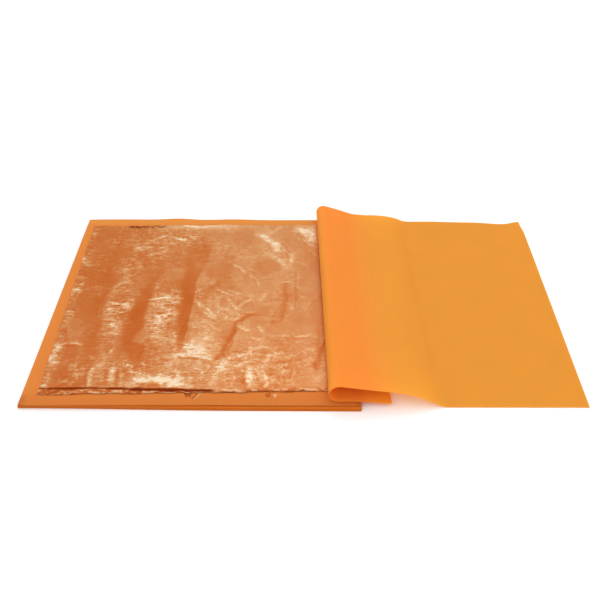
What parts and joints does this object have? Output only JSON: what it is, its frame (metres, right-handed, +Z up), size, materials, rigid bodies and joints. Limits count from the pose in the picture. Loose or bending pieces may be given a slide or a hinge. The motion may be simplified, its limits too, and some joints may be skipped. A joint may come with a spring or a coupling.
{
  "type": "copper leaf booklet",
  "caption": "Loose booklet of square copper leaves between orange tissue sheets, its top tissue folded back in a soft curl over the right edge.",
  "frame": {"origin": "bottom centre of the whole booklet's box, on the table", "axes": "+X to the right, from the stack towards the folded-back tissue; +Y away from the front edge; +Z up"},
  "size_m": [0.262, 0.1568, 0.0138],
  "materials": {
    "orange_tissue": "satin",
    "copper_leaf": "satin"
  },
  "bodies": {
    "tissue_sheet_01": {"tissue_sheet_01": "orange_tissue"},
    "copper_leaf_01": {"copper_leaf_01": "copper_leaf"},
    "tissue_sheet_02": {"tissue_sheet_02": "orange_tissue"},
    "copper_leaf_02": {"copper_leaf_02": "copper_leaf"},
    "tissue_sheet_03": {"tissue_sheet_03": "orange_tissue"},
    "copper_leaf_03": {"copper_leaf_03": "copper_leaf"},
    "tissue_sheet_04": {"tissue_sheet_04": "orange_tissue"},
    "copper_leaf_04": {"copper_leaf_04": "copper_leaf"},
    "tissue_sheet_05": {"tissue_sheet_05": "orange_tissue"},
    "copper_leaf_05": {"copper_leaf_05": "copper_leaf"},
    "tissue_sheet_06": {"tissue_sheet_06": "orange_tissue"},
    "copper_leaf_06": {"copper_leaf_06": "copper_leaf"},
    "tissue_sheet_07": {"tissue_sheet_07": "orange_tissue"},
    "copper_leaf_07": {"copper_leaf_07": "copper_leaf"},
    "tissue_sheet_08": {"tissue_sheet_08": "orange_tissue"},
    "copper_leaf_08": {"copper_leaf_08": "copper_leaf"},
    "tissue_sheet_09": {"tissue_sheet_09": "orange_tissue"},
    "copper_leaf_09": {"copper_leaf_09": "copper_leaf"},
    "tissue_sheet_10": {"tissue_sheet_10": "orange_tissue"},
    "copper_leaf_10": {"copper_leaf_10": "copper_leaf"},
    "tissue_sheet_11": {"tissue_sheet_11": "orange_tissue"},
    "copper_leaf_11": {"copper_leaf_11": "copper_leaf"},
    "tissue_sheet_12": {"tissue_sheet_12": "orange_tissue"},
    "copper_leaf_12": {"copper_leaf_12": "copper_leaf"},
    "tissue_sheet_13": {"tissue_sheet_13": "orange_tissue"},
    "copper_leaf_13": {"copper_leaf_13": "copper_leaf"},
    "tissue_sheet_14": {"tissue_sheet_14": "orange_tissue"},
    "copper_leaf_14": {"copper_leaf_14": "copper_leaf"},
    "tissue_sheet_15": {"tissue_sheet_15": "orange_tissue"},
    "copper_leaf_15": {"copper_leaf_15": "copper_leaf"},
    "tissue_sheet_16": {"tissue_sheet_16": "orange_tissue"},
    "copper_leaf_16": {"copper_leaf_16": "copper_leaf"},
    "tissue_sheet_17": {"tissue_sheet_17": "orange_tissue"},
    "copper_leaf_17": {"copper_leaf_17": "copper_leaf"},
    "tissue_sheet_18": {"tissue_sheet_18": "orange_tissue"},
    "copper_leaf_18": {"copper_leaf_18": "copper_leaf"},
    "tissue_sheet_19": {"tissue_sheet_19": "orange_tissue"},
    "copper_leaf_19": {"copper_leaf_19": "copper_leaf"},
    "tissue_sheet_20": {"tissue_sheet_20": "orange_tissue"},
    "copper_leaf_20": {"copper_leaf_20": "copper_leaf"},
    "tissue_sheet_21": {"tissue_sheet_21": "orange_tissue"},
    "copper_leaf_21": {"copper_leaf_21": "copper_leaf"},
    "tissue_sheet_22": {"tissue_sheet_22": "orange_tissue"},
    "copper_leaf_22": {"copper_leaf_22": "copper_leaf"},
    "tissue_sheet_23": {"tissue_sheet_23": "orange_tissue"},
    "copper_leaf_23": {"copper_leaf_23": "copper_leaf"},
    "tissue_sheet_24": {"tissue_sheet_24": "orange_tissue"},
    "copper_leaf_24": {"copper_leaf_24": "copper_leaf"},
    "tissue_sheet_25": {"tissue_sheet_25": "orange_tissue"},
    "copper_leaf_25": {"copper_leaf_25": "copper_leaf"},
    "top_tissue_lip": {"top_tissue_lip": "orange_tissue"},
    "top_tissue_curl_1": {"top_tissue_curl_1": "orange_tissue"},
    "top_tissue_curl_2": {"top_tissue_curl_2": "orange_tissue"},
    "top_tissue_upper_ramp": {"top_tissue_upper_ramp": "orange_tissue"},
    "top_tissue_lower_ramp": {"top_tissue_lower_ramp": "orange_tissue"},
    "top_tissue_flap": {"top_tissue_flap": "orange_tissue"}
  },
  "joints": [
    {"name": "flap_unfold", "type": "hinge", "parent": "top_tissue_lower_ramp", "child": "top_tissue_flap", "pos_m": [0.0634, 0.00214, 0.00004], "axis": [-0.0227, 0.9997, 0], "range_deg": [0, 27.5]},
    {"name": "top_tissue_unfold", "type": "hinge", "parent": "top_tissue_lip", "child": "top_tissue_curl_1", "pos_m": [0.01166, 0.00097, 0.00334], "axis": [0.0227, -0.9997, 0], "range_deg": [0, 62.83]},
    {"name": "curl_2_unfold", "type": "hinge", "parent": "top_tissue_curl_1", "child": "top_tissue_curl_2", "pos_m": [0.00887, 0.00091, 0.00877], "axis": [0.0227, -0.9997, 0], "range_deg": [0, 62.83]},
    {"name": "upper_ramp_unfold", "type": "hinge", "parent": "top_tissue_curl_2", "child": "top_tissue_upper_ramp", "pos_m": [0.01243, 0.00099, 0.01374], "axis": [0.0227, -0.9997, 0], "range_deg": [0, 62.83]},
    {"name": "lower_ramp_unfold", "type": "hinge", "parent": "top_tissue_upper_ramp", "child": "top_tissue_lower_ramp", "pos_m": [0.04703, 0.00177, 0.00856], "axis": [0.0227, -0.9997, 0], "range_deg": [0, 19]},
    {"name": "top_tissue_lip_lift", "type": "slide", "parent": "copper_leaf_25", "child": "top_tissue_lip", "axis": [0, 0, 1], "range_m": [0, 0.004]},
    {"name": "copper_leaf_25_lift", "type": "slide", "parent": "tissue_sheet_25", "child": "copper_leaf_25", "axis": [0, 0, 1], "range_m": [0, 0.004]},
    {"name": "tissue_sheet_25_lift", "type": "slide", "parent": "copper_leaf_24", "child": "tissue_sheet_25", "axis": [0, 0, 1], "range_m": [0, 0.004]},
    {"name": "copper_leaf_24_lift", "type": "slide", "parent": "tissue_sheet_24", "child": "copper_leaf_24", "axis": [0, 0, 1], "range_m": [0, 0.004]},
    {"name": "tissue_sheet_24_lift", "type": "slide", "parent": "copper_leaf_23", "child": "tissue_sheet_24", "axis": [0, 0, 1], "range_m": [0, 0.004]},
    {"name": "copper_leaf_23_lift", "type": "slide", "parent": "tissue_sheet_23", "child": "copper_leaf_23", "axis": [0, 0, 1], "range_m": [0, 0.004]},
    {"name": "tissue_sheet_23_lift", "type": "slide", "parent": "copper_leaf_22", "child": "tissue_sheet_23", "axis": [0, 0, 1], "range_m": [0, 0.004]},
    {"name": "copper_leaf_22_lift", "type": "slide", "parent": "tissue_sheet_22", "child": "copper_leaf_22", "axis": [0, 0, 1], "range_m": [0, 0.004]},
    {"name": "tissue_sheet_22_lift", "type": "slide", "parent": "copper_leaf_21", "child": "tissue_sheet_22", "axis": [0, 0, 1], "range_m": [0, 0.004]},
    {"name": "copper_leaf_21_lift", "type": "slide", "parent": "tissue_sheet_21", "child": "copper_leaf_21", "axis": [0, 0, 1], "range_m": [0, 0.004]},
    {"name": "tissue_sheet_21_lift", "type": "slide", "parent": "copper_leaf_20", "child": "tissue_sheet_21", "axis": [0, 0, 1], "range_m": [0, 0.004]},
    {"name": "copper_leaf_20_lift", "type": "slide", "parent": "tissue_sheet_20", "child": "copper_leaf_20", "axis": [0, 0, 1], "range_m": [0, 0.004]},
    {"name": "tissue_sheet_20_lift", "type": "slide", "parent": "copper_leaf_19", "child": "tissue_sheet_20", "axis": [0, 0, 1], "range_m": [0, 0.004]},
    {"name": "copper_leaf_19_lift", "type": "slide", "parent": "tissue_sheet_19", "child": "copper_leaf_19", "axis": [0, 0, 1], "range_m": [0, 0.004]},
    {"name": "tissue_sheet_19_lift", "type": "slide", "parent": "copper_leaf_18", "child": "tissue_sheet_19", "axis": [0, 0, 1], "range_m": [0, 0.004]},
    {"name": "copper_leaf_18_lift", "type": "slide", "parent": "tissue_sheet_18", "child": "copper_leaf_18", "axis": [0, 0, 1], "range_m": [0, 0.004]},
    {"name": "tissue_sheet_18_lift", "type": "slide", "parent": "copper_leaf_17", "child": "tissue_sheet_18", "axis": [0, 0, 1], "range_m": [0, 0.004]},
    {"name": "copper_leaf_17_lift", "type": "slide", "parent": "tissue_sheet_17", "child": "copper_leaf_17", "axis": [0, 0, 1], "range_m": [0, 0.004]},
    {"name": "tissue_sheet_17_lift", "type": "slide", "parent": "copper_leaf_16", "child": "tissue_sheet_17", "axis": [0, 0, 1], "range_m": [0, 0.004]},
    {"name": "copper_leaf_16_lift", "type": "slide", "parent": "tissue_sheet_16", "child": "copper_leaf_16", "axis": [0, 0, 1], "range_m": [0, 0.004]},
    {"name": "tissue_sheet_16_lift", "type": "slide", "parent": "copper_leaf_15", "child": "tissue_sheet_16", "axis": [0, 0, 1], "range_m": [0, 0.004]},
    {"name": "copper_leaf_15_lift", "type": "slide", "parent": "tissue_sheet_15", "child": "copper_leaf_15", "axis": [0, 0, 1], "range_m": [0, 0.004]},
    {"name": "tissue_sheet_15_lift", "type": "slide", "parent": "copper_leaf_14", "child": "tissue_sheet_15", "axis": [0, 0, 1], "range_m": [0, 0.004]},
    {"name": "copper_leaf_14_lift", "type": "slide", "parent": "tissue_sheet_14", "child": "copper_leaf_14", "axis": [0, 0, 1], "range_m": [0, 0.004]},
    {"name": "tissue_sheet_14_lift", "type": "slide", "parent": "copper_leaf_13", "child": "tissue_sheet_14", "axis": [0, 0, 1], "range_m": [0, 0.004]},
    {"name": "copper_leaf_13_lift", "type": "slide", "parent": "tissue_sheet_13", "child": "copper_leaf_13", "axis": [0, 0, 1], "range_m": [0, 0.004]},
    {"name": "tissue_sheet_13_lift", "type": "slide", "parent": "copper_leaf_12", "child": "tissue_sheet_13", "axis": [0, 0, 1], "range_m": [0, 0.004]},
    {"name": "copper_leaf_12_lift", "type": "slide", "parent": "tissue_sheet_12", "child": "copper_leaf_12", "axis": [0, 0, 1], "range_m": [0, 0.004]},
    {"name": "tissue_sheet_12_lift", "type": "slide", "parent": "copper_leaf_11", "child": "tissue_sheet_12", "axis": [0, 0, 1], "range_m": [0, 0.004]},
    {"name": "copper_leaf_11_lift", "type": "slide", "parent": "tissue_sheet_11", "child": "copper_leaf_11", "axis": [0, 0, 1], "range_m": [0, 0.004]},
    {"name": "tissue_sheet_11_lift", "type": "slide", "parent": "copper_leaf_10", "child": "tissue_sheet_11", "axis": [0, 0, 1], "range_m": [0, 0.004]},
    {"name": "copper_leaf_10_lift", "type": "slide", "parent": "tissue_sheet_10", "child": "copper_leaf_10", "axis": [0, 0, 1], "range_m": [0, 0.004]},
    {"name": "tissue_sheet_10_lift", "type": "slide", "parent": "copper_leaf_09", "child": "tissue_sheet_10", "axis": [0, 0, 1], "range_m": [0, 0.004]},
    {"name": "copper_leaf_09_lift", "type": "slide", "parent": "tissue_sheet_09", "child": "copper_leaf_09", "axis": [0, 0, 1], "range_m": [0, 0.004]},
    {"name": "tissue_sheet_09_lift", "type": "slide", "parent": "copper_leaf_08", "child": "tissue_sheet_09", "axis": [0, 0, 1], "range_m": [0, 0.004]},
    {"name": "copper_leaf_08_lift", "type": "slide", "parent": "tissue_sheet_08", "child": "copper_leaf_08", "axis": [0, 0, 1], "range_m": [0, 0.004]},
    {"name": "tissue_sheet_08_lift", "type": "slide", "parent": "copper_leaf_07", "child": "tissue_sheet_08", "axis": [0, 0, 1], "range_m": [0, 0.004]},
    {"name": "copper_leaf_07_lift", "type": "slide", "parent": "tissue_sheet_07", "child": "copper_leaf_07", "axis": [0, 0, 1], "range_m": [0, 0.004]},
    {"name": "tissue_sheet_07_lift", "type": "slide", "parent": "copper_leaf_06", "child": "tissue_sheet_07", "axis": [0, 0, 1], "range_m": [0, 0.004]},
    {"name": "copper_leaf_06_lift", "type": "slide", "parent": "tissue_sheet_06", "child": "copper_leaf_06", "axis": [0, 0, 1], "range_m": [0, 0.004]},
    {"name": "tissue_sheet_06_lift", "type": "slide", "parent": "copper_leaf_05", "child": "tissue_sheet_06", "axis": [0, 0, 1], "range_m": [0, 0.004]},
    {"name": "copper_leaf_05_lift", "type": "slide", "parent": "tissue_sheet_05", "child": "copper_leaf_05", "axis": [0, 0, 1], "range_m": [0, 0.004]},
    {"name": "tissue_sheet_05_lift", "type": "slide", "parent": "copper_leaf_04", "child": "tissue_sheet_05", "axis": [0, 0, 1], "range_m": [0, 0.004]},
    {"name": "copper_leaf_04_lift", "type": "slide", "parent": "tissue_sheet_04", "child": "copper_leaf_04", "axis": [0, 0, 1], "range_m": [0, 0.004]},
    {"name": "tissue_sheet_04_lift", "type": "slide", "parent": "copper_leaf_03", "child": "tissue_sheet_04", "axis": [0, 0, 1], "range_m": [0, 0.004]},
    {"name": "copper_leaf_03_lift", "type": "slide", "parent": "tissue_sheet_03", "child": "copper_leaf_03", "axis": [0, 0, 1], "range_m": [0, 0.004]},
    {"name": "tissue_sheet_03_lift", "type": "slide", "parent": "copper_leaf_02", "child": "tissue_sheet_03", "axis": [0, 0, 1], "range_m": [0, 0.004]},
    {"name": "copper_leaf_02_lift", "type": "slide", "parent": "tissue_sheet_02", "child": "copper_leaf_02", "axis": [0, 0, 1], "range_m": [0, 0.004]},
    {"name": "tissue_sheet_02_lift", "type": "slide", "parent": "copper_leaf_01", "child": "tissue_sheet_02", "axis": [0, 0, 1], "range_m": [0, 0.004]},
    {"name": "copper_leaf_01_lift", "type": "slide", "parent": "tissue_sheet_01", "child": "copper_leaf_01", "axis": [0, 0, 1], "range_m": [0, 0.004]}
  ],
  "couplings": [
    {"joint": "top_tissue_unfold", "follows": "flap_unfold", "ratio": 2.2848},
    {"joint": "curl_2_unfold", "follows": "flap_unfold", "ratio": 2.2848},
    {"joint": "upper_ramp_unfold", "follows": "flap_unfold", "ratio": 2.2848},
    {"joint": "lower_ramp_unfold", "follows": "flap_unfold", "ratio": 0.69091}
  ]
}
